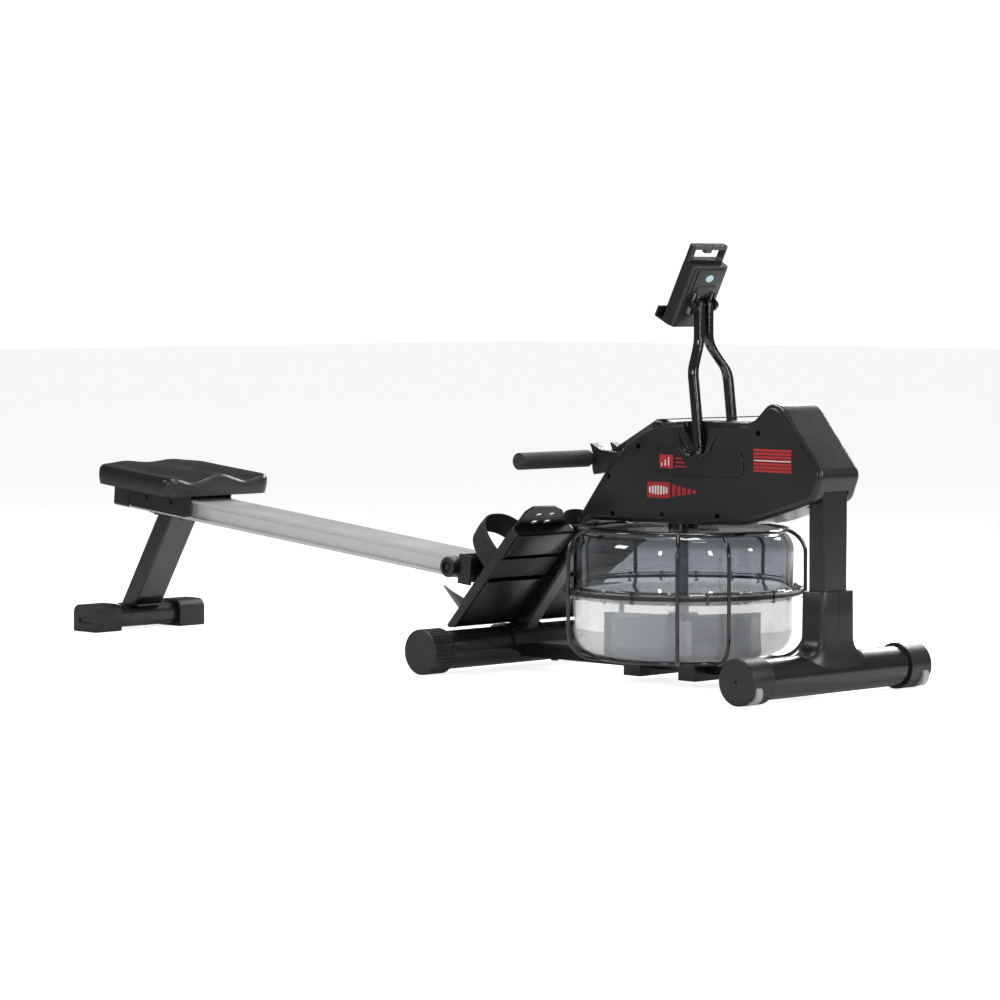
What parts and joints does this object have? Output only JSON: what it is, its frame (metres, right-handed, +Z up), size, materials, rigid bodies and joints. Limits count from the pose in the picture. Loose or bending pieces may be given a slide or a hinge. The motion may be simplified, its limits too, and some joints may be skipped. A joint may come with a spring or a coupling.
{
  "type": "rowing machine",
  "caption": "Water-resistance rowing machine with a sloping rail, sliding seat, foot boards, round paddle tank, pull handle and tilting console.",
  "frame": {"origin": "on the floor, under the middle of the machine's bounding box", "axes": "+X from the rear foot to the tank, +Y to the rower's left, +Z up"},
  "size_m": [2.15, 0.562, 0.8639],
  "materials": {
    "powder_black": "satin black powder coat",
    "steel_tube": "satin black powder coat on steel tube",
    "abs_black": "matt textured moulding",
    "cap_black": "matt moulded end cap",
    "shell_grey": "fine leather-grain moulding",
    "rail_silver": "satin anodised extrusion",
    "seat_grey": "soft moulded foam with fine grain",
    "roller_grey": "polyurethane tyre",
    "bolt_steel": "zinc plated",
    "screw_black": "black oxide",
    "rubber_black": "matt",
    "board_grey": "moulded, satin",
    "pedal_black": "moulded, fine grain",
    "webbing": "woven polyester webbing",
    "tank_clear": "smoky clear polycarbonate",
    "water": "clear water",
    "chrome_wire": "gloss coated wire",
    "impeller_metal": "stainless",
    "foam_black": "closed-cell foam",
    "console_gloss": "gloss",
    "screen": "segment display behind a window",
    "button_grey": "moulded",
    "bracket_grey": "satin",
    "wheel_clear": "translucent polyurethane",
    "panel_print": "printed panel"
  },
  "bodies": {
    "frame": {"base_beam": "powder_black", "console_fork": "powder_black", "fill_plug": "cap_black", "flange_bolts": "bolt_steel", "foot_straps": "webbing", "footboards": "board_grey", "frame_bolts": "bolt_steel", "front_caps": "cap_black", "front_post": "steel_tube", "front_stabiliser": "steel_tube", "handle_cradle": "abs_black", "housing_left": "shell_grey", "housing_right": "shell_grey", "housing_screws": "screw_black", "inner_strap": "webbing", "main_strut": "steel_tube", "mid_caps": "cap_black", "mid_stabiliser": "steel_tube", "pedal_left": "pedal_black", "pedal_right": "pedal_black", "post_boot_left": "abs_black", "post_boot_right": "abs_black", "pull_strap": "webbing", "rail": "rail_silver", "rail_bracket": "powder_black", "rail_bumpers": "rubber_black", "rail_rear_cap": "cap_black", "rear_foot_bar": "steel_tube", "rear_foot_caps": "cap_black", "rear_leg": "steel_tube", "recoil_cord": "webbing", "shaft_bearing": "bolt_steel", "side_panels": "panel_print", "tank_cage": "chrome_wire", "tank_lower": "tank_clear", "tank_seal": "rubber_black", "tank_upper": "tank_clear", "top_beam": "powder_black", "water": "water"},
    "seat": {"seat_pad": "seat_grey", "seat_carriage": "powder_black"},
    "rear_rollers": {"seat_rollers_rear": "roller_grey"},
    "front_rollers": {"seat_rollers_front": "roller_grey"},
    "handle": {"handle_bar": "steel_tube", "handle_grips": "foam_black", "strap_clip": "bolt_steel"},
    "guide_roller": {"guide_roller": "abs_black"},
    "front_pulley": {"front_pulley": "abs_black"},
    "drum": {"strap_drum": "abs_black"},
    "impeller": {"impeller": "impeller_metal"},
    "wheel_left": {"wheel_left": "wheel_clear"},
    "wheel_right": {"wheel_right": "wheel_clear"},
    "heel_left": {"heel_cup_left": "pedal_black"},
    "heel_right": {"heel_cup_right": "pedal_black"},
    "console": {"console_case": "console_gloss", "console_screen": "screen", "console_bracket": "bracket_grey"},
    "button_reset": {"button_reset": "button_grey"},
    "button_set": {"button_set": "button_grey"},
    "button_mode": {"button_mode": "button_grey"}
  },
  "joints": [
    {"name": "seat_slide", "type": "slide", "parent": "frame", "child": "seat", "axis": [0.9954, 0, -0.0955], "range_m": [0, 0.825]},
    {"name": "rear_roller_spin", "type": "hinge", "parent": "seat", "child": "rear_rollers", "pos_m": [-0.97298, 0, 0.29922], "axis": [0, 1, 0], "continuous": true},
    {"name": "front_roller_spin", "type": "hinge", "parent": "seat", "child": "front_rollers", "pos_m": [-0.80674, 0, 0.28328], "axis": [0, 1, 0], "continuous": true},
    {"name": "handle_pull", "type": "slide", "parent": "frame", "child": "handle", "axis": [-0.9848, 0, 0.1736], "range_m": [0, 1.1], "stiffness_N_per_m": 30, "springref_m": -0.3, "deforming": ["pull_strap"]},
    {"name": "guide_spin", "type": "hinge", "parent": "frame", "child": "guide_roller", "pos_m": [0.6, 0, 0.505], "axis": [0, 1, 0], "continuous": true},
    {"name": "front_pulley_spin", "type": "hinge", "parent": "frame", "child": "front_pulley", "pos_m": [0.95, 0, 0.499], "axis": [0, 1, 0], "continuous": true},
    {"name": "drum_spin", "type": "hinge", "parent": "frame", "child": "drum", "pos_m": [0.656, 0, 0.42], "axis": [0, 0, 1], "continuous": true},
    {"name": "impeller_spin", "type": "hinge", "parent": "frame", "child": "impeller", "pos_m": [0.656, 0, 0.2], "axis": [0, 0, 1], "continuous": true},
    {"name": "wheel_left_spin", "type": "hinge", "parent": "frame", "child": "wheel_left", "pos_m": [1.053, 0.244, 0.026], "axis": [0, 1, 0], "continuous": true},
    {"name": "wheel_right_spin", "type": "hinge", "parent": "frame", "child": "wheel_right", "pos_m": [1.053, -0.244, 0.026], "axis": [0, 1, 0], "continuous": true},
    {"name": "heel_left_slide", "type": "slide", "parent": "frame", "child": "heel_left", "axis": [0.6807, 0, 0.7325], "range_m": [0, 0.05]},
    {"name": "heel_right_slide", "type": "slide", "parent": "frame", "child": "heel_right", "axis": [0.6807, 0, 0.7325], "range_m": [0, 0.05]},
    {"name": "console_tilt", "type": "hinge", "parent": "frame", "child": "console", "pos_m": [0.708, 0, 0.744], "axis": [0, 1, 0], "range_deg": [-20, 20]},
    {"name": "button_reset_press", "type": "slide", "parent": "console", "child": "button_reset", "axis": [0.891, 0, -0.454], "range_m": [0, 0.0012], "stiffness_N_per_m": 600},
    {"name": "button_set_press", "type": "slide", "parent": "console", "child": "button_set", "axis": [0.891, 0, -0.454], "range_m": [0, 0.0012], "stiffness_N_per_m": 600},
    {"name": "button_mode_press", "type": "slide", "parent": "console", "child": "button_mode", "axis": [0.891, 0, -0.454], "range_m": [0, 0.0012], "stiffness_N_per_m": 600}
  ],
  "couplings": [
    {"joint": "rear_roller_spin", "follows": "seat_slide", "rad_per_m": 63.291},
    {"joint": "front_roller_spin", "follows": "seat_slide", "rad_per_m": 63.291},
    {"joint": "guide_spin", "follows": "handle_pull", "rad_per_m": -81.301},
    {"joint": "front_pulley_spin", "follows": "handle_pull", "rad_per_m": -28.329},
    {"joint": "drum_spin", "follows": "handle_pull", "rad_per_m": 36.63}
  ]
}
